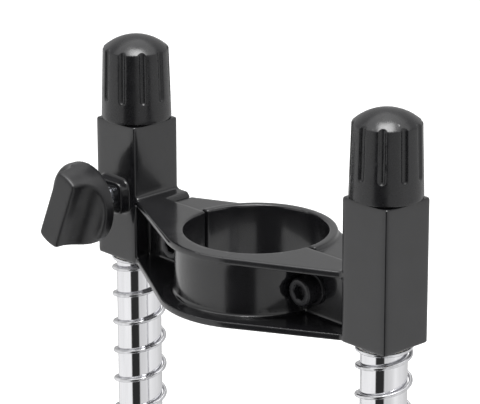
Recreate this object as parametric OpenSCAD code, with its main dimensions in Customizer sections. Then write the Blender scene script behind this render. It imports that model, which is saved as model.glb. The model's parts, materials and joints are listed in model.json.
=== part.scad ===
// Mobile drill stand: a collar carriage that slides on two sprung columns.
// X runs along the row of columns, +Y is the back, the collar's axis is Z, the ground is z = 0.

/* [Overall] */
// Distance between the two column axes
column_spacing = 105.5; // [98:0.5:130]
// Height of the carriage's underside when it is fully raised
raised_height = 245; // [180:1:300]

/* [Collar] */
// Bore of the collar that grips the drill's neck
collar_d = 43; // [35:0.5:44]
// Height of the collar
collar_h = 20.9; // [18:0.1:30]
// Wall of the collar's ring
collar_wall = 2.7; // [2.2:0.1:3.5]
// Gap between the two halves when they grip a neck
split_gap = 0.8; // [0.4:0.1:1.6]
// Reach of the top flange past the ring
top_flange_reach = 3.3; // [1.5:0.1:5]
// Reach of the bottom flange past the ring
bottom_flange_reach = 5.2; // [2:0.1:6]
// Thickness of the flanges
flange_t = 2.1; // [1.6:0.1:3]
// Thickness of the upright webs between the flanges
web_t = 3; // [2:0.1:3.6]
// Radius where a flange runs into a wall
cast_fillet = 1.2; // [0.6:0.1:1.5]

/* [Towers] */
// Width of the square tower around each column
tower_w = 17.8; // [17.6:0.1:22]
// Height of a tower
tower_h = 43.5; // [40:0.5:60]
// Corner radius of a tower
tower_corner_r = 1.1; // [0.6:0.1:2]

/* [Columns and springs] */
// Diameter of a column
column_d = 13.7; // [11:0.1:13.8]
// Wire diameter of the springs
wire_d = 1.25; // [0.9:0.05:1.5]
// Radial play between a spring and its column
spring_play = 0.35; // [0.3:0.05:1]
// Open turns of a spring
open_turns = 22; // [12:1:26]
// Wall of the guide bushes
bush_wall = 0.75; // [0.6:0.05:1]
// Length of a guide bush
bush_len = 10; // [6:0.5:12]
// Radial running clearance
running_gap = 0.05; // [0.02:0.01:0.1]

/* [Caps] */
// Height of a cap
cap_h = 25.5; // [22:0.5:32]
// Diameter of a cap at its foot
cap_foot_d = 21.3; // [20:0.1:24]
// Diameter of a cap at its shoulder
cap_shoulder_d = 20; // [19:0.1:22]
// Number of finger grooves round a cap
groove_count = 10; // [6:1:12]
// Length of a finger groove
groove_len = 15.3; // [8:0.1:16]

/* [Lock] */
// Diameter of the lock knob's rim
knob_d = 25.2; // [20:0.1:30]
// Height of the lock knob's grip
knob_h = 12.6; // [10:0.1:18]
// Thickness of the knob's fin at its outer face
fin_t = 8.4; // [5:0.1:9]
// Diameter of the lock's threaded stud
stud_d = 6; // [5:0.5:8]
// Turn of the knob's fin away from upright
fin_angle = 23; // [0:1:90]

/* [Clamp screws] */
// Diameter of the clamp screws
screw_d = 5; // [4:0.5:5]
// Length of the clamp screws under the head
screw_len = 16; // [16:1:20]
// Distance of a clamp screw's axis past the collar's bore
screw_offset = 6; // [5.7:0.1:8]

/* [Base] */
// Reach of the round base past the column sockets
base_reach = 8.9; // [4:0.1:40]
// Thickness of the cast base plate
base_t = 11; // [8:0.5:16]
// Diameter of the window in the base
window_d = 60; // [40:1:64]
// Thickness of the rubber sole
sole_t = 1.5; // [1:0.1:3]
// Height of a column socket above the plate
socket_h = 21.5; // [16:0.5:30]
// Wall of a column socket
socket_wall = 6.5; // [5:0.1:8]

/* [Hidden] */
$fn = 96;
eps = 0.01;
far = 400;

// Columns
side = column_spacing / 2;
column_r = column_d / 2;

// Collar and its split
bore_r = collar_d / 2;
ring_r = bore_r + collar_wall;
half_gap = split_gap / 2;
web_front = half_gap + web_t;

// Towers
tower_half = tower_w / 2;
tower_inner = side - tower_half;
tower_top = raised_height + tower_h;
tower_play = 0.35;
tower_bore_r = column_r + tower_play;
bush_r = column_r + running_gap + bush_wall;
flange_set_in = 0.25;
flange_end = tower_half - flange_set_in;

// Ears of the rear jaw, a little lower than the flanges of the carriage
ear_drop = 1.35;
stub_len = 4.5;
stub_x = tower_inner - stub_len;
ear_gap = 0.15;
ear_x = stub_x - ear_drop - ear_gap;

// Clamp screws, washers and nuts
screw_r = screw_d / 2;
screw_x = bore_r + screw_offset;
screw_z = collar_h / 2;
hole_play = 0.25;
washer_play = 0.15;
washer_t = 1;
washer_r = screw_d;
head_h = screw_d;
head_r = 0.85 * screw_d;
hex_r = 0.8 * screw_r / cos(30);
nut_t = 0.8 * screw_d;
nut_r = 0.8 * screw_d / cos(30);
nut_play = 0.1;
nut_seat = 1;
nut_y = half_gap + web_t + nut_seat;
nut_boss_wall = 1.8;
screw_edge = 0.4;
recess_play = 0.4;
recess_draft = 0.8;
recess_foot_r = washer_r + recess_play;
recess_mouth_r = recess_foot_r + recess_draft;
recess_len = 10.5;

// Lock: threaded boss, stud, pad and knob
lock_z = 21;
boss_w = stud_d + 7;
boss_h = stud_d + 4.3;
boss_len = 3.7;
boss_corner_r = 2.5;
stud_r = stud_d / 2;
pad_gap = 0.55;
pad_t = 2;
pad_nose_r = 0.35 * stud_d;
hub_len = 3;
hub_wall = 3;
hub_r = stud_r + hub_wall;
stud_show = 4.4;
rim_y = tower_half + boss_len + stud_show + hub_len;
knob_r = knob_d / 2;
knob_draft = 0.3;
knob_face_r = knob_r - knob_draft;
knob_edge = 0.3;
rim_t = 4.5;
rim_round = 0.8;
scoop_r = 6;
scoop_floor = 3.8;
scoop_z = scoop_floor + scoop_r;
scoop_x = fin_t / 2 + scoop_r;
stud_grip = 9;

// Caps
cap_gap = 0.3;
cap_z = tower_top + cap_gap;
cap_foot_r = cap_foot_d / 2;
cap_shoulder_r = cap_shoulder_d / 2;
cap_edge = 0.4;
dome_h = 4;
dome_r = (cap_shoulder_r * cap_shoulder_r + dome_h * dome_h) / (2 * dome_h);
shoulder_z = cap_h - dome_h;
cap_draft = atan((cap_foot_r - cap_shoulder_r) / shoulder_z);
groove_r = 1.15;
groove_depth = 0.8;
cap_recess = 8;
insert_len = 12;
insert_r = 5.5;
cap_stud_r = 4;
cap_stud_len = 11;
cap_turn_left = 6.3;
cap_turn_right = 18.6;

// Base
socket_r = column_r + socket_wall;
base_r = side + socket_r + base_reach;
base_top = sole_t + base_t;
window_r = window_d / 2;
socket_top = base_top + socket_h;
socket_floor = sole_t + 5;
base_round = 3;
sole_w = 8;
sole_set_in = 1;
grub_r = 2.5;
grub_set_in = 0.5;
grub_len = socket_wall - grub_set_in;
grub_hex_len = 2;
grub_z = base_top + socket_h / 2;

// Springs: closed turns at both ends, and pitch that eases in over the first open turns
spring_gap = 0.1;
spring_foot = socket_top + spring_gap;
spring_len = raised_height - spring_gap - spring_foot;
coil_r = column_r + spring_play + wire_d / 2;
coil_ease = 2.1;
open_len = spring_len - 3 * wire_d;
coil_pitch = (open_len + 2 * coil_ease) / open_turns;
coil_steps = 16;
wire_sides = 6;
spring_turn_left = 6;
spring_turn_right = 90;

// ---- shared shapes ----

// Point where a line from corner p touches a circle of radius r, on the side given by turn
function touch_point(p, r, turn) =
  let (a = atan2(p[1], p[0]) + turn * acos(r / norm(p)))
  [r * cos(a), r * sin(a)];

// Concave corner piece that blends two walls at a right angle
module corner_profile(r) {
  difference() {
    square(r);
    translate([r, r]) circle(r);
  }
}

// Square with rounded corners, centred
module rounded_rect(w, h, r) {
  square([w - 2 * r, h], center = true);
  square([w, h - 2 * r], center = true);
  for (x = [-1, 1], y = [-1, 1]) {
    translate([x * (w / 2 - r), y * (h / 2 - r)]) circle(r);
  }
}

// Everything in front of the split, as a flat outline
module front_half() {
  translate([-far, -far - half_gap]) square([2 * far, far]);
}

// Everything behind the split, as a flat outline
module rear_half() {
  translate([-far, half_gap]) square([2 * far, far]);
}

// Copies a part of the right-hand side to both sides
module both_sides() {
  children();
  mirror([1, 0, 0]) children();
}

// Puts a shape drawn along +Z so that it points to the front, with its foot on y = 0
module facing_front() {
  rotate([90, 0, 0]) children();
}

// ---- base ----

module base_plate() {
  color("#1b1b1c") difference() {
    union() {
      translate([0, 0, sole_t]) rotate_extrude() base_section();
      for (s = [-1, 1]) {
        translate([s * side, 0, sole_t]) cylinder(r = socket_r, h = socket_top - sole_t);
        translate([s * side, 0, base_top]) rotate_extrude() {
          translate([socket_r - eps, -eps]) corner_profile(base_round);
        }
      }
    }
    for (s = [-1, 1]) {
      translate([s * side, 0, socket_floor]) cylinder(r = column_r, h = far);
      translate([s * side, 0, grub_z]) rotate([0, s * 90, 0]) cylinder(r = grub_r, h = far);
    }
  }
}

// Half section of the plate, with its rounded rim
module base_section() {
  translate([window_r, 0]) square([base_r - base_round - window_r, base_t]);
  translate([window_r, 0]) square([base_r - window_r, base_t - base_round]);
  translate([base_r - base_round, base_t - base_round]) circle(base_round);
}

module base_sole() {
  color("#222222") difference() {
    cylinder(r = base_r - sole_set_in, h = sole_t);
    translate([0, 0, -1]) cylinder(r = base_r - sole_set_in - sole_w, h = sole_t + 2);
  }
}

module grub_screw(s) {
  color("#3a3a3a") translate([s * (side + column_r), 0, grub_z]) rotate([0, s * 90, 0]) {
    difference() {
      cylinder(r = grub_r, h = grub_len);
      translate([0, 0, grub_len - grub_hex_len]) cylinder(r = grub_r / 2, h = grub_len, $fn = 6);
    }
  }
}

// ---- columns and springs ----

module column(s) {
  top = cap_z + cap_recess;
  color("#d8d8da") translate([s * side, 0, 0]) {
    translate([0, 0, socket_floor]) cylinder(r = column_r, h = top - socket_floor);
    translate([0, 0, top]) cylinder(r = cap_stud_r, h = cap_stud_len);
  }
}

// Height of the wire's centre after t turns, counted from the foot of the spring
function coil_z(t) =
  let (o = min(max(t - 1, 0), open_turns))
  let (eased = coil_ease * (1 - exp(-o) + exp(o - open_turns)))
  let (closed = wire_d * (min(t, 1) + max(t - 1 - open_turns, 0)))
  wire_d / 2 + closed + (o > 0 ? coil_pitch * o - eased : 0);

// Ring of points round the wire at turn t, with the top end of the spring at angle end_a
function wire_ring(t, end_a) =
  let (a = end_a + 360 * (t - 1 - open_turns))
  [for (i = [0 : wire_sides - 1])
    let (b = 360 * (i + 0.5) / wire_sides, r = coil_r + wire_d / 2 * cos(b))
    [r * cos(a), r * sin(a), coil_z(t) + wire_d / 2 * sin(b)]];

module spring(s, end_a) {
  turns = open_turns + 2;
  count = round(turns * coil_steps);
  points = [for (k = [0 : count]) each wire_ring(k / coil_steps, end_a)];
  foot = [for (i = [0 : wire_sides - 1]) i];
  head = [for (i = [wire_sides - 1 : -1 : 0]) count * wire_sides + i];
  walls = [for (k = [0 : count - 1], i = [0 : wire_sides - 1])
    let (j = (i + 1) % wire_sides, low = k * wire_sides, high = low + wire_sides)
    [low + i, high + i, high + j, low + j]];
  color("#cfd0d2") translate([s * side, 0, spring_foot]) {
    polyhedron(points = points, faces = concat([foot], walls, [head]), convexity = 10);
  }
}

// ---- caps ----

module cap_body_section() {
  difference() {
    union() {
      polygon([[0, cap_edge], [cap_foot_r, cap_edge], [cap_shoulder_r, shoulder_z], [0, shoulder_z]]);
      square([cap_foot_r - cap_edge, 2 * cap_edge]);
      translate([cap_foot_r - cap_edge, cap_edge]) intersection() {
        circle(cap_edge);
        translate([0, -1]) square([1, 1]);
      }
      intersection() {
        translate([0, cap_h - dome_r]) circle(dome_r);
        translate([0, shoulder_z]) square([cap_shoulder_r, dome_h + 1]);
      }
    }
    translate([-far, -1]) square([far, far]);
    translate([-1, -1]) square([column_r + 1 + running_gap, cap_recess + 1]);
    translate([-1, cap_recess - 1]) square([insert_r + 1, insert_len + 1]);
  }
}

module cap(s, turn) {
  groove_foot = shoulder_z - groove_len + groove_r;
  groove_centre = cap_foot_r + groove_r - groove_depth;
  color("#1d1d1e") translate([s * side, 0, cap_z]) difference() {
    rotate_extrude() cap_body_section();
    for (i = [0 : groove_count - 1]) {
      rotate([0, 0, turn + i * 360 / groove_count]) translate([groove_centre, 0, 0]) {
        rotate([0, -cap_draft, 0]) {
          translate([0, 0, groove_foot]) sphere(groove_r, $fn = 48);
          translate([0, 0, groove_foot]) cylinder(r = groove_r, h = cap_h);
        }
      }
    }
  }
}

module cap_insert(s) {
  color("#b08d4c") translate([s * side, 0, cap_z + cap_recess]) difference() {
    cylinder(r = insert_r, h = insert_len);
    translate([0, 0, -1]) cylinder(r = cap_stud_r, h = insert_len + 2);
  }
}

// ---- carriage ----

// Outline of a front flange: a disc of radius r with straight arms to both towers
module flange_outline(r) {
  corner = [tower_inner + eps, -flange_end];
  right = touch_point(corner, r, -1);
  intersection() {
    union() {
      circle(r);
      polygon([[corner[0], 0], corner, right, [-right[0], right[1]],
        [-corner[0], corner[1]], [-corner[0], 0]]);
    }
    front_half();
  }
}

// Short flange behind the split, between a tower and the rear jaw, with a sloped end on top
module flange_stub() {
  translate([0, flange_end, 0]) rotate([90, 0, 0]) {
    linear_extrude(flange_end + half_gap + eps) polygon([
      [stub_x, 0], [stub_x - ear_drop, ear_drop], [stub_x - ear_drop, flange_t],
      [tower_inner + eps, flange_t], [tower_inner + eps, 0]
    ]);
  }
}

module carriage_beam() {
  linear_extrude(flange_t) flange_outline(ring_r + bottom_flange_reach);
  translate([0, 0, collar_h - flange_t]) linear_extrude(flange_t) {
    flange_outline(ring_r + top_flange_reach);
  }
  linear_extrude(collar_h) intersection() {
    circle(ring_r);
    front_half();
  }
  both_sides() {
    translate([bore_r + collar_wall / 2, -web_front, 0]) {
      cube([tower_inner + eps - bore_r - collar_wall / 2, web_t, collar_h]);
    }
    translate([0, 0, collar_h]) mirror([0, 0, 1]) flange_stub();
    flange_stub();
    beam_fillets();
    translate([0, 0, collar_h]) mirror([0, 0, 1]) beam_fillets();
    tower_fillet();
  }
}

// Fillets between a flange and the ring and web that stand on it
module beam_fillets() {
  translate([0, 0, flange_t]) {
    rotate([0, 0, -90]) rotate_extrude(angle = 90) {
      translate([ring_r - eps, -eps]) corner_profile(cast_fillet);
    }
    translate([ring_r, -web_front + eps, -eps]) rotate([90, 0, 90]) mirror([1, 0, 0]) {
      linear_extrude(tower_inner - ring_r) corner_profile(cast_fillet / 2);
    }
  }
}

// Fillet between the top flange and the inner face of a tower
module tower_fillet() {
  translate([tower_inner + eps, flange_end, collar_h - eps]) rotate([90, 0, 0]) mirror([1, 0, 0]) {
    linear_extrude(2 * flange_end) corner_profile(cast_fillet);
  }
}

module tower() {
  translate([side, 0, 0]) linear_extrude(tower_h) rounded_rect(tower_w, tower_w, tower_corner_r);
}

module lock_boss() {
  translate([-side, -tower_half + eps, lock_z]) facing_front() linear_extrude(boss_len) {
    rounded_rect(boss_w, boss_h, boss_corner_r);
  }
}

// Drafted pocket round a clamp screw's head, cut into the ring and down to the web
module screw_recess() {
  translate([screw_x, -web_front, screw_z]) facing_front() {
    cylinder(r1 = recess_foot_r, r2 = recess_mouth_r, h = recess_len);
  }
}

module carriage() {
  color("#232425") translate([0, 0, raised_height]) difference() {
    union() {
      carriage_beam();
      both_sides() tower();
      lock_boss();
    }
    translate([0, 0, -1]) cylinder(r = bore_r, h = collar_h + 2);
    both_sides() {
      screw_recess();
      translate([screw_x, 0, screw_z]) facing_front() {
        cylinder(r = screw_r + hole_play, h = web_front + 1);
      }
      translate([side, 0, -1]) cylinder(r = tower_bore_r, h = tower_h + 2);
      translate([side, 0, -1]) cylinder(r = bush_r, h = bush_len + 1);
      translate([side, 0, tower_h - bush_len]) cylinder(r = bush_r, h = bush_len + 1);
    }
    translate([-side, 0, lock_z]) facing_front() cylinder(r = stud_r + running_gap, h = far);
  }
}

module bush(s, z) {
  color("#e6e2d6") translate([s * side, 0, raised_height + z]) difference() {
    cylinder(r = bush_r, h = bush_len);
    translate([0, 0, -1]) cylinder(r = column_r + running_gap, h = bush_len + 2);
  }
}

// ---- rear jaw and clamp screws ----

// Outline of a rear jaw's ear flange: tapers from the end of the ear to the ring
module ear_outline() {
  corner = [ear_x, flange_end];
  right = touch_point(corner, ring_r, 1);
  intersection() {
    polygon([[0, 0], [ear_x, 0], corner, right]);
    rear_half();
  }
}

module rear_jaw() {
  ear_foot = ear_drop;
  ear_h = collar_h - 2 * ear_drop;
  color("#232425") translate([0, 0, raised_height]) difference() {
    union() {
      linear_extrude(collar_h) intersection() {
        circle(ring_r);
        rear_half();
      }
      both_sides() {
        for (z = [ear_foot, ear_foot + ear_h - flange_t]) {
          translate([0, 0, z]) linear_extrude(flange_t) ear_outline();
        }
        translate([bore_r + collar_wall / 2, half_gap, ear_foot]) {
          cube([ear_x - bore_r - collar_wall / 2, web_t, ear_h]);
        }
        translate([screw_x, nut_y + nut_t, screw_z]) facing_front() {
          cylinder(r = nut_r + nut_boss_wall, h = nut_y + nut_t - half_gap);
        }
      }
    }
    translate([0, 0, -1]) cylinder(r = bore_r, h = collar_h + 2);
    both_sides() {
      translate([screw_x, far, screw_z]) facing_front() cylinder(r = screw_r + hole_play, h = 2 * far);
      translate([screw_x, far, screw_z]) facing_front() {
        cylinder(r = nut_r + nut_play, h = far - nut_y, $fn = 6);
      }
    }
  }
}

module clamp_washer(s) {
  color("#1a1a1b") translate([s * screw_x, -web_front, raised_height + screw_z]) facing_front() {
    difference() {
      cylinder(r = washer_r, h = washer_t);
      translate([0, 0, -1]) cylinder(r = screw_r + washer_play, h = washer_t + 2);
    }
  }
}

module clamp_screw(s) {
  head_y = -web_front - washer_t;
  color("#1a1a1b") translate([s * screw_x, head_y, raised_height + screw_z]) facing_front() {
    difference() {
      union() {
        cylinder(r = head_r, h = head_h - screw_edge);
        translate([0, 0, head_h - screw_edge]) {
          cylinder(r1 = head_r, r2 = head_r - screw_edge, h = screw_edge);
        }
        translate([0, 0, -screw_len]) cylinder(r = screw_r, h = screw_len + eps);
      }
      translate([0, 0, head_h / 2]) cylinder(r = hex_r, h = head_h, $fn = 6);
    }
  }
}

module clamp_nut(s) {
  color("#8d8f92") translate([s * screw_x, nut_y + nut_t, raised_height + screw_z]) facing_front() {
    difference() {
      cylinder(r = nut_r, h = nut_t, $fn = 6);
      translate([0, 0, -1]) cylinder(r = screw_r + running_gap, h = nut_t + 2);
    }
  }
}

// ---- lock ----

module at_lock(y) {
  translate([-side, -y, raised_height + lock_z]) facing_front() children();
}

// Pad that presses the column, held on the nose of the stud
module lock_pad() {
  color("#b08d4c") at_lock(column_r + pad_gap) difference() {
    cylinder(r = stud_r, h = pad_t);
    translate([0, 0, pad_t / 2]) cylinder(r = pad_nose_r + running_gap, h = pad_t);
  }
}

module lock_stud() {
  foot = column_r + pad_gap + pad_t + running_gap;
  color("#c9cacc") at_lock(foot) {
    cylinder(r = stud_r, h = rim_y + stud_grip - hub_len - foot);
    translate([0, 0, running_gap - pad_t / 2]) cylinder(r = pad_nose_r, h = pad_t / 2);
  }
}

// Half section of the knob before its thumb scoops: hub, rounded rim and tapered crown
module knob_section() {
  translate([0, -hub_len]) square([hub_r, hub_len + rim_round]);
  square([knob_r - rim_round, rim_t]);
  translate([0, rim_round]) square([knob_r, rim_t - rim_round]);
  intersection() {
    translate([knob_r - rim_round, rim_round]) circle(rim_round);
    square(knob_r);
  }
  polygon([[0, rim_round], [knob_r, rim_round], [knob_r, rim_t], [knob_face_r, knob_h - knob_edge],
    [knob_face_r - knob_edge, knob_h], [0, knob_h]]);
}

// Side cut of the knob: a straight face on the fin that runs into a round hollow in the rim
module scoop_profile() {
  translate([scoop_x, scoop_z]) circle(scoop_r);
  translate([fin_t / 2, scoop_z]) square(far);
}

module lock_knob() {
  color("#262627") at_lock(rim_y) rotate([0, 0, -fin_angle]) difference() {
    rotate_extrude() knob_section();
    both_sides() translate([0, far, 0]) facing_front() linear_extrude(2 * far) scoop_profile();
    translate([0, 0, -hub_len - 1]) cylinder(r = stud_r, h = stud_grip + 1);
  }
}

base_plate();
base_sole();
column(-1);  // column_left
column(1);  // column_right
grub_screw(-1);  // grub_screw_left
grub_screw(1);  // grub_screw_right
spring(-1, spring_turn_left);  // spring_left
spring(1, spring_turn_right);  // spring_right
cap(-1, cap_turn_left);  // cap_left
cap(1, cap_turn_right);  // cap_right
cap_insert(-1);  // cap_insert_left
cap_insert(1);  // cap_insert_right
carriage();
bush(-1, tower_h - bush_len);  // bush_upper_left
bush(1, tower_h - bush_len);  // bush_upper_right
bush(-1, 0);  // bush_lower_left
bush(1, 0);  // bush_lower_right
clamp_washer(-1);  // clamp_washer_left
clamp_washer(1);  // clamp_washer_right
clamp_screw(-1);  // clamp_screw_left
clamp_screw(1);  // clamp_screw_right
rear_jaw();
clamp_nut(-1);  // clamp_nut_left
clamp_nut(1);  // clamp_nut_right
lock_pad();
lock_stud();
lock_knob();
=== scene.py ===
"""Looks of the mobile drill stand: finished meshes, materials, floor, light and camera."""

import json
import math

import bmesh
import bpy
import numpy as np
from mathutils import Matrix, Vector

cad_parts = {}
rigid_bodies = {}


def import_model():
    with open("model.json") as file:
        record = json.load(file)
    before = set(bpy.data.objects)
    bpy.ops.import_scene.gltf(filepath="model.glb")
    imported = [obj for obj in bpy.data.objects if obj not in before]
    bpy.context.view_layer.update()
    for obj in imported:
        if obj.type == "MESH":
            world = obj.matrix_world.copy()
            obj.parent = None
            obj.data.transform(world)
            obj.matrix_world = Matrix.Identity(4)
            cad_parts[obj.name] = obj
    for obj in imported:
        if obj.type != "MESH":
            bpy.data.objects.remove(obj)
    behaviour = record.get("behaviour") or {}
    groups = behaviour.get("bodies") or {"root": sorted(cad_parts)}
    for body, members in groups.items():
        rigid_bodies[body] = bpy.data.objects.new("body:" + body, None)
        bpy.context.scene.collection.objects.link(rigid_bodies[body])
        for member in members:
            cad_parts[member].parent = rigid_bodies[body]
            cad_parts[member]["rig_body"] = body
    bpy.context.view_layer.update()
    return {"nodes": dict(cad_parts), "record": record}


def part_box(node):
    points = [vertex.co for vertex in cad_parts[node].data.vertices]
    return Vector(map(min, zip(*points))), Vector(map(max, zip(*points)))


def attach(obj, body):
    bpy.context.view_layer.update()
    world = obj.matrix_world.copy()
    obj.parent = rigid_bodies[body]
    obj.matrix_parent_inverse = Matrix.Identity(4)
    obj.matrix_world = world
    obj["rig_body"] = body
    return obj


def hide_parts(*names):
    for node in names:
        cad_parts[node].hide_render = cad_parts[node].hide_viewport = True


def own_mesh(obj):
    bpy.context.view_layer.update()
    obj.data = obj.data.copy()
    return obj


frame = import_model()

import openvdb
from mathutils import Matrix, Vector

MM = 0.001
scene = bpy.context.scene
NODES = frame["nodes"]
SLOTS = {s["node"]: s["material_slot"] for s in frame["record"]["subparts"]}
SIDES = (("left", -1), ("right", 1))
FACING_FRONT = Matrix.Rotation(math.radians(90), 4, "X")


# ---- materials ----


class Surface:
    """A procedural material on one principled shader, with its textures in object space, in metres."""

    def __init__(self, name, colour, metallic=0.0, roughness=0.5, coat=0.0, coat_roughness=0.1):
        self.material = bpy.data.materials.new(name)
        self.material.use_nodes = True
        self.tree = self.material.node_tree
        self.shader = self.tree.nodes["Principled BSDF"]
        self.place = self.add("ShaderNodeTexCoord").outputs["Object"]
        self.shader.inputs["Base Color"].default_value = (*colour, 1)
        self.shader.inputs["Metallic"].default_value = metallic
        self.shader.inputs["Roughness"].default_value = roughness
        self.shader.inputs["Coat Weight"].default_value = coat
        self.shader.inputs["Coat Roughness"].default_value = coat_roughness
        self.colour = colour
        self.height = None

    def add(self, kind, **values):
        node = self.tree.nodes.new(kind)
        for key, value in values.items():
            setattr(node, key, value)
        return node

    def link(self, a, b):
        self.tree.links.new(a, b)

    def noise(self, size, detail=3.0, stretch=(1, 1, 1)):
        """Noise whose blobs are about size metres across, drawn out along an axis by stretch."""
        mapping = self.add("ShaderNodeMapping")
        mapping.inputs["Scale"].default_value = [1 / s for s in stretch]
        self.link(self.place, mapping.inputs["Vector"])
        texture = self.add("ShaderNodeTexNoise")
        texture.inputs["Scale"].default_value = 1 / size
        texture.inputs["Detail"].default_value = detail
        self.link(mapping.outputs["Vector"], texture.inputs["Vector"])
        return texture.outputs["Fac"]

    def ranged(self, value, low, high, start=0.3, end=0.7):
        """Maps value from start..end to low..high."""
        node = self.add("ShaderNodeMapRange")
        node.inputs["From Min"].default_value = start
        node.inputs["From Max"].default_value = end
        node.inputs["To Min"].default_value = low
        node.inputs["To Max"].default_value = high
        self.link(value, node.inputs["Value"])
        return node.outputs["Result"]

    def vary_roughness(self, value, low, high):
        self.link(self.ranged(value, low, high), self.shader.inputs["Roughness"])

    def vary_colour(self, value, dark, light, start=0.3, end=0.7):
        """Blends the base colour between dark and light shares of itself."""
        mix = self.add("ShaderNodeMix", data_type="RGBA")
        mix.inputs["A"].default_value = (*[c * dark for c in self.colour], 1)
        mix.inputs["B"].default_value = (*[min(c * light, 1) for c in self.colour], 1)
        self.link(self.ranged(value, 0, 1, start, end), mix.inputs["Factor"])
        self.link(mix.outputs["Result"], self.shader.inputs["Base Color"])

    def bump(self, value, depth):
        """Raises the surface by up to depth metres where value is high."""
        node = self.add("ShaderNodeBump")
        node.inputs["Distance"].default_value = depth
        node.inputs["Strength"].default_value = 1
        self.link(value, node.inputs["Height"])
        if self.height is not None:
            self.link(self.height, node.inputs["Normal"])
        self.height = node.outputs["Normal"]
        self.link(self.height, self.shader.inputs["Normal"])

    def edge_wear_and_highlight(self, light, sharpness=(0.52, 0.62)):
        """Lightens the colour where the surface turns over an edge: partly wear, partly a painted highlight
        along the edge.
        """
        pointiness = self.add("ShaderNodeNewGeometry").outputs["Pointiness"]
        self.vary_colour(pointiness, 1, light, *sharpness)


def cast_paint():
    """Satin black enamel on a die-casting: a little orange peel, dust-fine grain."""
    s = Surface("cast_paint", (0.008, 0.008, 0.009), roughness=0.2, coat=0.35, coat_roughness=0.08)
    s.vary_roughness(s.noise(6 * MM, 4), 0.15, 0.24)
    s.vary_colour(s.noise(9 * MM, 5), 0.8, 1.25)
    s.bump(s.noise(1.6 * MM, 1.5), 0.003 * MM)
    s.bump(s.noise(0.25 * MM, 2), 0.0008 * MM)
    return s.material


def cap_plastic():
    """Moulded satin plastic with fine spark-erosion grain."""
    s = Surface("cap_plastic", (0.008, 0.008, 0.009), roughness=0.26)
    s.vary_roughness(s.noise(3 * MM, 4), 0.2, 0.32)
    s.bump(s.noise(0.22 * MM, 2), 0.002 * MM)
    s.bump(s.noise(2.5 * MM, 2), 0.003 * MM)
    return s.material


def knob_plastic():
    """Matt moulded plastic, rubbed a little smoother in patches."""
    s = Surface("knob_plastic", (0.008, 0.008, 0.009), roughness=0.38)
    s.vary_roughness(s.noise(5 * MM, 4), 0.3, 0.44)
    s.bump(s.noise(0.22 * MM, 2), 0.006 * MM)
    s.bump(s.noise(3 * MM, 2), 0.008 * MM)
    return s.material


def chrome():
    """Hard chrome on a ground shaft: faint grinding rings and a few rub marks along the travel."""
    s = Surface("chrome", (0.83, 0.83, 0.85), metallic=1, roughness=0.06)
    s.vary_roughness(s.noise(1.2 * MM, 3, (6, 6, 0.25)), 0.035, 0.1)
    s.vary_colour(s.noise(4 * MM, 3, (0.4, 0.4, 6)), 0.94, 1.03)
    s.bump(s.noise(0.4 * MM, 2, (12, 12, 0.3)), 0.0006 * MM)
    return s.material


def spring_steel():
    """Bright plated wire with drawing marks."""
    s = Surface("spring_steel", (0.72, 0.72, 0.74), metallic=1, roughness=0.16)
    s.vary_roughness(s.noise(0.9 * MM, 4), 0.1, 0.24)
    s.vary_colour(s.noise(2.5 * MM, 3), 0.8, 1.1)
    s.bump(s.noise(0.15 * MM, 2, (4, 4, 1)), 0.001 * MM)
    return s.material


def black_oxide():
    """Blackened steel with its edges painted lighter: partly worn to brighter metal, partly a painted
    highlight on the edges and chamfered crowns.
    """
    s = Surface("black_oxide", (0.018, 0.018, 0.020), metallic=0.3, roughness=0.33)
    s.vary_roughness(s.noise(0.8 * MM, 4), 0.24, 0.42)
    # Edges lightened fourfold in colour: partly wear, partly a painted highlight on the chamfers.
    s.edge_wear_and_highlight(4, (0.57, 0.68))
    s.bump(s.noise(0.2 * MM, 3), 0.003 * MM)
    return s.material


def zinc_plate():
    """Zinc-plated steel with a cloudy passivated tone."""
    s = Surface("zinc_plate", (0.56, 0.57, 0.6), metallic=1, roughness=0.3)
    s.vary_roughness(s.noise(1.5 * MM, 4), 0.22, 0.38)
    s.vary_colour(s.noise(2 * MM, 4), 0.75, 1.15)
    s.bump(s.noise(0.2 * MM, 3), 0.002 * MM)
    return s.material


def brass():
    """Turned brass with tool marks and a light tarnish."""
    s = Surface("brass", (0.62, 0.43, 0.18), metallic=1, roughness=0.28)
    s.vary_roughness(s.noise(1 * MM, 3), 0.22, 0.36)
    s.vary_colour(s.noise(2 * MM, 4), 0.7, 1.1)
    s.bump(s.noise(0.15 * MM, 1, (8, 8, 0.5)), 0.003 * MM)
    return s.material


def bearing_plastic():
    """Natural acetal, slightly translucent and waxy."""
    s = Surface("bearing_plastic", (0.72, 0.69, 0.6), roughness=0.35)
    s.shader.inputs["Subsurface Weight"].default_value = 0.3
    s.shader.inputs["Subsurface Radius"].default_value = (0.6 * MM, 0.5 * MM, 0.4 * MM)
    s.shader.inputs["Subsurface Scale"].default_value = 1
    s.vary_roughness(s.noise(1 * MM, 3), 0.3, 0.42)
    s.bump(s.noise(0.3 * MM, 2), 0.003 * MM)
    return s.material


def sole_rubber():
    """Matt rubber with a cloth-like moulded grain and dust."""
    s = Surface("sole_rubber", (0.022, 0.022, 0.022), roughness=0.75)
    s.vary_roughness(s.noise(4 * MM, 4), 0.65, 0.85)
    s.vary_colour(s.noise(12 * MM, 5), 0.8, 1.6)
    s.bump(s.noise(0.5 * MM, 2), 0.02 * MM)
    return s.material


FINISHES = {
    "cast_black": cast_paint(),
    "cap_plastic": cap_plastic(),
    "knob_plastic": knob_plastic(),
    "chrome": chrome(),
    "spring_wire": spring_steel(),
    "black_steel": black_oxide(),
    "zinc_steel": zinc_plate(),
    "brass": brass(),
    "bush_plastic": bearing_plastic(),
    "sole_rubber": sole_rubber(),
}


# ---- pieces ----


def settle(piece, node):
    """Makes a finished piece stand for its CAD node, on the same body and with the same finish."""
    piece.data.materials.clear()
    piece.data.materials.append(FINISHES[SLOTS[node]])
    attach(piece, NODES[node]["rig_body"])
    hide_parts(node)
    return piece


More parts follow.
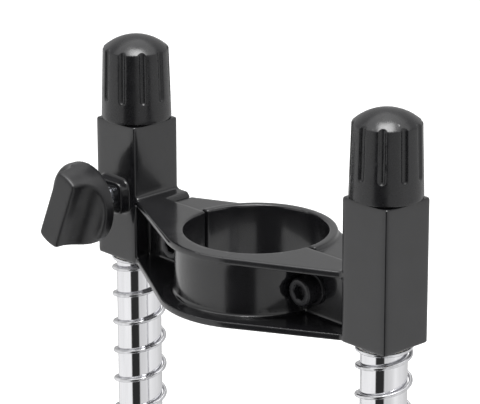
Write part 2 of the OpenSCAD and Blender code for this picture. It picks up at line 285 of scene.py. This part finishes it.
def mesh_piece(name, bm, crease=35):
    """Object from a bmesh, smooth but for edges sharper than crease degrees."""
    mesh = bpy.data.meshes.new(name)
    bmesh.ops.recalc_face_normals(bm, faces=bm.faces)
    bm.to_mesh(mesh)
    bm.free()
    mesh.polygons.foreach_set("use_smooth", [True] * len(mesh.polygons))
    mesh.set_sharp_from_angle(angle=math.radians(crease))
    piece = bpy.data.objects.new(name, mesh)
    scene.collection.objects.link(piece)
    return piece


def rounded(node, radius, segments=3, extra=None):
    """Copy of a CAD node with its flat faces made whole and its edges rounded."""
    bm = bmesh.new()
    bm.from_mesh(NODES[node].data)
    bmesh.ops.remove_doubles(bm, verts=bm.verts, dist=0.002 * MM)
    bmesh.ops.dissolve_limit(bm, angle_limit=math.radians(0.5), verts=bm.verts, edges=bm.edges)
    sharp = [e for e in bm.edges if len(e.link_faces) == 2 and e.calc_face_angle() > math.radians(27)]
    bmesh.ops.bevel(bm, geom=sharp, offset=radius, segments=segments, profile=0.5, affect="EDGES",
                    clamp_overlap=False, loop_slide=True)
    if extra:
        extra(bm)
    piece = mesh_piece(node + "_finished", bm, 50)
    weighted = piece.modifiers.new("flat faces", "WEIGHTED_NORMAL")
    weighted.keep_sharp = True
    return settle(piece, node)


def level_set(points, width, voxel, **faces):
    """Distance field of a closed mesh, exact to width either side of its surface."""
    transform = openvdb.createLinearTransform(voxelSize=voxel)
    return openvdb.FloatGrid.createLevelSetFromPolygons(
        points, transform=transform, halfWidth=width / voxel + 3, **faces)


def cast(node, voxel, outer, inner, merge=0.0, extra=None):
    """Copy of a CAD node with outer edges rounded to one radius and corners filled to another, all in mm.

    The solid is shrunk, grown past its size and shrunk back, as distance fields, which leaves flat and
    round faces where they are."""
    source = NODES[node].data
    source.calc_loop_triangles()
    points = np.empty(len(source.vertices) * 3, np.float32)
    source.vertices.foreach_get("co", points)
    triangles = np.empty(len(source.loop_triangles) * 3, np.int32)
    source.loop_triangles.foreach_get("vertices", triangles)
    grid = level_set(points.reshape(-1, 3) / MM, outer + inner, voxel, triangles=triangles.reshape(-1, 3))
    for offset in (-outer, outer + inner):
        points, triangles, quads = grid.convertToPolygons(isovalue=offset)
        grid = level_set(points, outer + inner, voxel, triangles=triangles, quads=quads)
    points, triangles, quads = grid.convertToPolygons(isovalue=-inner, adaptivity=merge)
    mesh = bpy.data.meshes.new(node)
    mesh.from_pydata((points * MM).tolist(), [], triangles.tolist() + quads.tolist())
    bm = bmesh.new()
    bm.from_mesh(mesh)
    bpy.data.meshes.remove(mesh)
    if extra:
        extra(bm)
    return settle(mesh_piece(node + "_finished", bm, 180), node)


def hexagon(angle):
    """Share of a hexagon's corner radius at an angle, with corners at every 60 degrees."""
    return math.cos(math.radians(30)) / math.cos(math.radians((math.degrees(angle) % 60) - 30))


def lathe(bm, rings, segments=96, closed_ends=True):
    """Turns rings of (radius, height) round Z; a ring may add a function of angle that scales its radius."""
    rows = []
    for radius, height, *shape in rings:
        row = []
        for i in range(segments):
            a = 2 * math.pi * i / segments
            r = radius * (shape[0](a) if shape else 1)
            row.append(bm.verts.new((r * math.cos(a), r * math.sin(a), height)))
        rows.append(row)
    for low, high in zip(rows, rows[1:]):
        for i in range(segments):
            j = (i + 1) % segments
            bm.faces.new((low[i], low[j], high[j], high[i]))
    if closed_ends:
        bm.faces.new(rows[0][::-1])
        bm.faces.new(rows[-1])
    return rows


def thread_rings(radius, pitch, start, end, steps=10):
    """Rings of a right-handed thread with tapered ends."""
    depth = 0.6 * pitch
    count = round((end - start) / pitch * steps)
    rings = []
    for k in range(count + 1):
        z = start + (end - start) * k / count
        lead = 0.45 * depth * max(0, 1 - min(z - start, end - z) / (0.8 * pitch))

        def shape(a, z=z, lead=lead):
            phase = (z / pitch - a / (2 * math.pi)) % 1
            groove = min(max(abs(phase - 0.5) * 2.6 - 0.22, 0), 1)
            return 1 - (max(depth * groove, 2 * lead)) / radius

        rings.append((radius, z, shape))
    return rings


def place(bm, point, turn=Matrix.Identity(4)):
    """Moves a shape made along Z, at the origin, to its place."""
    bmesh.ops.transform(bm, matrix=Matrix.Translation(point) @ turn, verts=bm.verts)


def middle(node):
    """Centre of a CAD node's box."""
    low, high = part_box(node)
    return (low + high) / 2


# ---- columns, springs and caps ----


def column(side):
    """Ground rod with chamfered shoulder and a threaded end that the cap screws on to."""
    node = "column_" + side
    low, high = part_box(node)
    radius = (high.x - low.x) / 2
    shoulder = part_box("cap_insert_" + side)[0].z
    stud = 4 * MM
    chamfer = 0.5 * MM
    bm = bmesh.new()
    lathe(bm, [
        (radius - chamfer, low.z), (radius, low.z + chamfer),
        (radius, shoulder - chamfer), (radius - chamfer, shoulder),
        (stud * 0.86, shoulder), (stud * 0.86, high.z - chamfer), (stud * 0.86 - chamfer, high.z),
    ], 128)
    place(bm, (middle(node).x, 0, 0))
    return settle(mesh_piece(node + "_finished", bm), node)


WIRE = 1.25 * MM
OPEN_TURNS = 22


def spring(side, end_angle):
    """Compression spring with closed, ground ends, its pitch easing in over the first open turns."""
    node = "spring_" + side
    low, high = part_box(node)
    ease = 2.1 * MM
    steps = 40
    sides = 14
    coil = (high.x - low.x - WIRE) / 2
    turns = OPEN_TURNS + 2
    pitch = (high.z - low.z - 3 * WIRE + 2 * ease) / OPEN_TURNS

    def height(t):
        o = min(max(t - 1, 0), OPEN_TURNS)
        closed = WIRE * (min(t, 1) + max(t - 1 - OPEN_TURNS, 0))
        eased = ease * (1 - math.exp(-o) + math.exp(o - OPEN_TURNS)) if o else 0
        return WIRE / 2 + closed + pitch * o - eased

    bm = bmesh.new()
    rings = []
    for k in range(turns * steps + 1):
        t = k / steps
        a = math.radians(end_angle) + 2 * math.pi * (t - 1 - OPEN_TURNS)
        ring = []
        for i in range(sides):
            b = 2 * math.pi * i / sides
            r = coil + WIRE / 2 * math.cos(b)
            z = height(t) + WIRE / 2 * math.sin(b)
            ground = min(max(z, 0.22 * WIRE), high.z - low.z - 0.22 * WIRE)
            ring.append(bm.verts.new((r * math.cos(a), r * math.sin(a), ground)))
        rings.append(ring)
    for one, two in zip(rings, rings[1:]):
        for i in range(sides):
            j = (i + 1) % sides
            bm.faces.new((one[i], two[i], two[j], one[j]))
    bm.faces.new(rings[0])
    bm.faces.new(rings[-1][::-1])
    place(bm, (middle(node).x, 0, low.z))
    piece = settle(mesh_piece(node + "_finished", bm), node)
    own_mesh(piece)
    return piece


for side, sign in SIDES:
    column(side)
    cast("cap_" + side, 0.16, 0.16, 0.16, 0.02)
    rounded("cap_insert_" + side, 0.2 * MM)
spring("left", 6)
spring("right", 90)


# ---- screws, washers, nuts and grub screws ----


def cap_screw(side):
    """Hexagon socket screw: knurled head with a chamfered crown, and a rolled thread to its end."""
    node = "clamp_screw_" + side
    low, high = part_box(node)
    centre = middle(node)
    head_r = (high.x - low.x) / 2
    head_h = 5 * MM
    thread_r = 2.5 * MM
    chamfer = 0.4 * MM
    hex_r = 2.31 * MM
    hex_depth = 2.5 * MM
    knurls = 36
    grip = 5 * MM
    under = low.y + head_h
    length = high.y - under

    def knurl(a):
        return 1 - 0.02 * (0.5 + 0.5 * math.cos(knurls * a))

    bm = bmesh.new()
    rings = [(thread_r - chamfer, -length)]
    rings += thread_rings(thread_r, 0.8 * MM, -length + chamfer / 2, -grip)
    rings += [
        (thread_r, -grip + 0.2 * MM), (thread_r, -0.15 * MM), (thread_r + 0.15 * MM, 0),
        (head_r - 0.3 * MM, 0), (head_r - 0.1 * MM, 0.1 * MM), (head_r, 0.45 * MM, knurl),
        (head_r, head_h - 1.1 * MM, knurl), (head_r - 0.02 * MM, head_h - 0.95 * MM),
        (head_r - 0.04 * MM, head_h - chamfer - 0.1 * MM), (head_r - 0.1 * MM, head_h - chamfer + 0.02 * MM),
        (head_r - chamfer - 0.05 * MM, head_h - 0.03 * MM), (head_r - chamfer - 0.2 * MM, head_h),
        (hex_r + 0.28 * MM, head_h), (hex_r + 0.16 * MM, head_h - 0.04 * MM),
        (hex_r, head_h - 0.3 * MM, hexagon), (hex_r, head_h - hex_depth, hexagon),
        (hex_r * 0.8, head_h - hex_depth, hexagon), (0.3 * MM, head_h - hex_depth - 0.5 * MM),
    ]
    lathe(bm, rings, 144)
    place(bm, (centre.x, under, centre.z), FACING_FRONT)
    return settle(mesh_piece(node + "_finished", bm, 30), node)


def grub_screw(side, sign):
    """Threaded grub screw with a hexagon socket in its outer end."""
    node = "grub_screw_" + side
    low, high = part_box(node)
    length = high.x - low.x
    radius = (high.z - low.z) / 2
    hex_r = 1.45 * MM
    chamfer = 0.35 * MM
    bm = bmesh.new()
    rings = [(radius - 2 * chamfer, 0), (radius - chamfer, chamfer / 2)]
    rings += thread_rings(radius - 0.02 * MM, 0.8 * MM, chamfer, length - chamfer)
    rings += [
        (radius - chamfer, length), (hex_r + 0.12 * MM, length), (hex_r, length - 0.15 * MM, hexagon),
        (hex_r, length - 2 * MM, hexagon), (0.2 * MM, length - 2.4 * MM),
    ]
    lathe(bm, rings, 96)
    foot = low.x if sign > 0 else high.x
    place(bm, (foot, 0, middle(node).z), Matrix.Rotation(math.radians(90 * sign), 4, "Y"))
    return settle(mesh_piece(node + "_finished", bm, 30), node)


def washer(side):
    """Stamped washer: one edge rolled over by the punch, the other sharp."""
    node = "clamp_washer_" + side
    low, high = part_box(node)
    centre = middle(node)
    outer = (high.x - low.x) / 2
    inner = 2.65 * MM
    thick = high.y - low.y
    roll = 0.25 * MM
    bm = bmesh.new()
    rows = lathe(bm, [
        (inner, 0), (outer - 0.05 * MM, 0), (outer, 0.05 * MM), (outer, thick - roll),
        (outer - 0.3 * roll, thick - 0.3 * roll), (outer - roll, thick), (inner + 0.1 * MM, thick),
        (inner, thick - 0.1 * MM),
    ], 96, closed_ends=False)
    for i in range(96):
        j = (i + 1) % 96
        bm.faces.new((rows[-1][i], rows[-1][j], rows[0][j], rows[0][i]))
    place(bm, (centre.x, high.y, centre.z), FACING_FRONT)
    return settle(mesh_piece(node + "_finished", bm, 30), node)


def lock_stud():
    """Threaded stud of the lock, with a turned nose for its pad."""
    node = "lock_stud"
    low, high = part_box(node)
    centre = middle(node)
    radius = (high.x - low.x) / 2
    nose_r = 2.1 * MM
    nose = 0.95 * MM
    length = high.y - low.y
    bm = bmesh.new()
    rings = [(nose_r - 0.2 * MM, 0), (nose_r, 0.2 * MM), (nose_r, nose), (radius - 0.7 * MM, nose)]
    rings += thread_rings(radius - 0.01 * MM, 1 * MM, nose + 0.1 * MM, length - 0.3 * MM)
    rings += [(radius - 0.8 * MM, length)]
    lathe(bm, rings, 96)
    place(bm, (centre.x, high.y, centre.z), FACING_FRONT)
    return settle(mesh_piece(node + "_finished", bm, 30), node)


def draw_in_pad(bm):
    """Narrows the pad a little, so that it runs free in the lock's bore."""
    centre = middle("lock_pad")
    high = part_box("lock_pad")[1]
    play = 0.08 * MM
    share = 1 - play / (high.x - centre.x)
    bmesh.ops.scale(bm, vec=(share, 1, share), space=Matrix.Translation(-centre), verts=bm.verts)


for side, sign in SIDES:
    cap_screw(side)
    grub_screw(side, sign)
    washer(side)
    rounded("clamp_nut_" + side, 0.25 * MM)
    for level in ("upper", "lower"):
        rounded("bush_" + level + "_" + side, 0.15 * MM)
lock_stud()
rounded("lock_pad", 0.2 * MM, extra=draw_in_pad)


# ---- castings and knob ----


def ridge(bm, start, end, width, height):
    """Fine raised line left by a joint of the mould, on top of a face."""
    along = (end - start).normalized()
    across = along.cross(Vector((0, 0, 1)))
    rows = []
    for point in (start, end):
        row = []
        for share, lift in ((-0.5, -0.3), (-0.25, 0.7), (0, 1), (0.25, 0.7), (0.5, -0.3)):
            row.append(bm.verts.new(point + across * width * share + Vector((0, 0, height * lift))))
        rows.append(row)
    for i in range(4):
        bm.faces.new((rows[0][i], rows[0][i + 1], rows[1][i + 1], rows[1][i]))
    bm.faces.new(rows[0])
    bm.faces.new(rows[1][::-1])
    bm.faces.new((rows[0][4], rows[0][0], rows[1][0], rows[1][4]))


def carriage_extras(bm):
    """Mould lines across the front of the top flange, from the bore to the flange's edge."""
    collar = next(m for m in frame["record"]["mounts"] if m["name"] == "collar")
    top = collar["pos_m"][2] + collar["dims"]["length_mm"] * MM / 2
    bore = collar["dims"]["r_mm"] * MM
    flange_r = bore + 6 * MM
    for x in (-11.7 * MM, 11.7 * MM):
        inner = -math.sqrt((bore + 0.3 * MM) ** 2 - x * x)
        outer = -math.sqrt((flange_r - 0.3 * MM) ** 2 - x * x)
        ridge(bm, Vector((x, inner, top)), Vector((x, outer, top)), 0.16 * MM, 0.035 * MM)


cast("carriage", 0.28, 0.35, 0.4, 0.02, carriage_extras)
cast("rear_jaw", 0.28, 0.35, 0.4, 0.02)
cast("lock_knob", 0.22, 0.9, 0.5, 0.01)
rounded("base_plate", 0.5 * MM)
rounded("base_sole", 0.3 * MM)


# ---- floor, light and camera ----


def stage_plane(name, size, place_at):
    """Square plane that belongs to the setting and not to the object."""
    bm = bmesh.new()
    bmesh.ops.create_grid(bm, x_segments=1, y_segments=1, size=size / 2)
    mesh = bpy.data.meshes.new(name)
    bm.to_mesh(mesh)
    bm.free()
    plane = bpy.data.objects.new(name, mesh)
    plane.location = place_at
    scene.collection.objects.link(plane)
    return plane


def softbox(name, azimuth, elevation, distance, size, power, target):
    """Area light that looks at target from a direction given like the camera's."""
    light = bpy.data.lights.new(name, "AREA")
    light.shape = "RECTANGLE"
    light.size, light.size_y = size
    light.energy = power
    lamp = bpy.data.objects.new(name, light)
    direction = from_view(azimuth, elevation)
    lamp.location = target + direction * distance
    lamp.rotation_euler = direction.to_track_quat("Z", "Y").to_euler()
    lamp.visible_camera = False
    scene.collection.objects.link(lamp)
    return lamp


def from_view(azimuth, elevation):
    """Direction from the object towards a viewer; azimuth 0 is the front, -Y."""
    a, e = math.radians(azimuth), math.radians(elevation)
    return Vector((math.sin(a) * math.cos(e), -math.cos(a) * math.cos(e), math.sin(e)))


VIEW_AZIMUTH = 46.818
VIEW_ELEVATION = 18.755
VIEW_ROLL = -0.158
VIEW_DISTANCE = 854 * MM
AIM_RIGHT = -4.71 * MM
AIM_UP = 27.49 * MM
LENS = 216.04
SENSOR = 36

carriage_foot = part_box("carriage")[0].z
focus = Vector((0, 0, carriage_foot))

floor = stage_plane("floor", 12, (0, 0, 0))
floor_paint = Surface("floor_white", (0.97, 0.97, 0.97), roughness=0.9)
floor_paint.shader.inputs["Emission Color"].default_value = (1, 1, 1, 1)
floor_paint.shader.inputs["Emission Strength"].default_value = 0.3
floor.data.materials.append(floor_paint.material)
floor.visible_glossy = False

# Brightness of the surround by azimuth, in degrees: white, with a dark gap left of the camera
STUDIO_TONES = (
    (-180, 0.7), (-125, 0.45), (-90, 0.95), (2, 1.0), (7, 0.03), (44, 0.03), (49, 0.7), (75, 0.75),
    (100, 0.95), (180, 0.7),
)
SKY_TONE = 0.55


def studio_world():
    """Even white surround with one dark gap beside the camera, as a light tent has where it opens."""
    world = bpy.data.worlds.new("studio")
    world.use_nodes = True
    tree = world.node_tree
    background = tree.nodes["Background"]

    def add(kind, **values):
        node = tree.nodes.new(kind)
        for key, value in values.items():
            setattr(node, key, value)
        return node

    split = add("ShaderNodeSeparateXYZ")
    tree.links.new(add("ShaderNodeTexCoord").outputs["Generated"], split.inputs[0])
    front = add("ShaderNodeMath", operation="MULTIPLY")
    front.inputs[1].default_value = -1
    tree.links.new(split.outputs["Y"], front.inputs[0])
    bearing = add("ShaderNodeMath", operation="ARCTAN2")
    tree.links.new(split.outputs["X"], bearing.inputs[0])
    tree.links.new(front.outputs[0], bearing.inputs[1])
    share = add("ShaderNodeMapRange")
    share.inputs["From Min"].default_value = -math.pi
    share.inputs["From Max"].default_value = math.pi
    tree.links.new(bearing.outputs[0], share.inputs["Value"])
    ramp_node = add("ShaderNodeValToRGB")
    elements = ramp_node.color_ramp.elements
    for end in (0, -1):
        elements[end].color = (*[STUDIO_TONES[end][1]] * 3, 1)
    for azimuth, tone in STUDIO_TONES[1:-1]:
        elements.new(azimuth / 360 + 0.5).color = (tone, tone, tone, 1)
    tree.links.new(share.outputs["Result"], ramp_node.inputs["Fac"])
    high = add("ShaderNodeMapRange")
    high.inputs["From Min"].default_value = 0.25
    high.inputs["From Max"].default_value = 0.6
    tree.links.new(split.outputs["Z"], high.inputs["Value"])
    mix = add("ShaderNodeMix", data_type="RGBA")
    tree.links.new(high.outputs["Result"], mix.inputs["Factor"])
    tree.links.new(ramp_node.outputs["Color"], mix.inputs["A"])
    mix.inputs["B"].default_value = (*[SKY_TONE] * 3, 1)
    tree.links.new(mix.outputs["Result"], background.inputs["Color"])
    background.inputs["Strength"].default_value = 1
    return world


scene.world = studio_world()

softbox("top_softbox", VIEW_AZIMUTH, 85, 1.0, (0.45, 0.45), 8, focus)
softbox("overhead", VIEW_AZIMUTH, 90, 1.5, (2.4, 2.4), 20, focus)

back = from_view(VIEW_AZIMUTH, VIEW_ELEVATION)
right = Vector((math.cos(math.radians(VIEW_AZIMUTH)), math.sin(math.radians(VIEW_AZIMUTH)), 0))
up = back.cross(right)
roll = Matrix.Rotation(math.radians(VIEW_ROLL), 3, back)
camera_data = bpy.data.cameras.new("camera")
camera_data.sensor_width = SENSOR
camera_data.lens = LENS
camera = bpy.data.objects.new("camera", camera_data)
axes = Matrix((roll @ right, roll @ up, back)).transposed()
eye = focus + right * AIM_RIGHT + up * AIM_UP + back * VIEW_DISTANCE
camera.matrix_world = Matrix.Translation(eye) @ axes.to_4x4()
scene.collection.objects.link(camera)
scene.camera = camera
scene.view_settings.view_transform = "Standard"
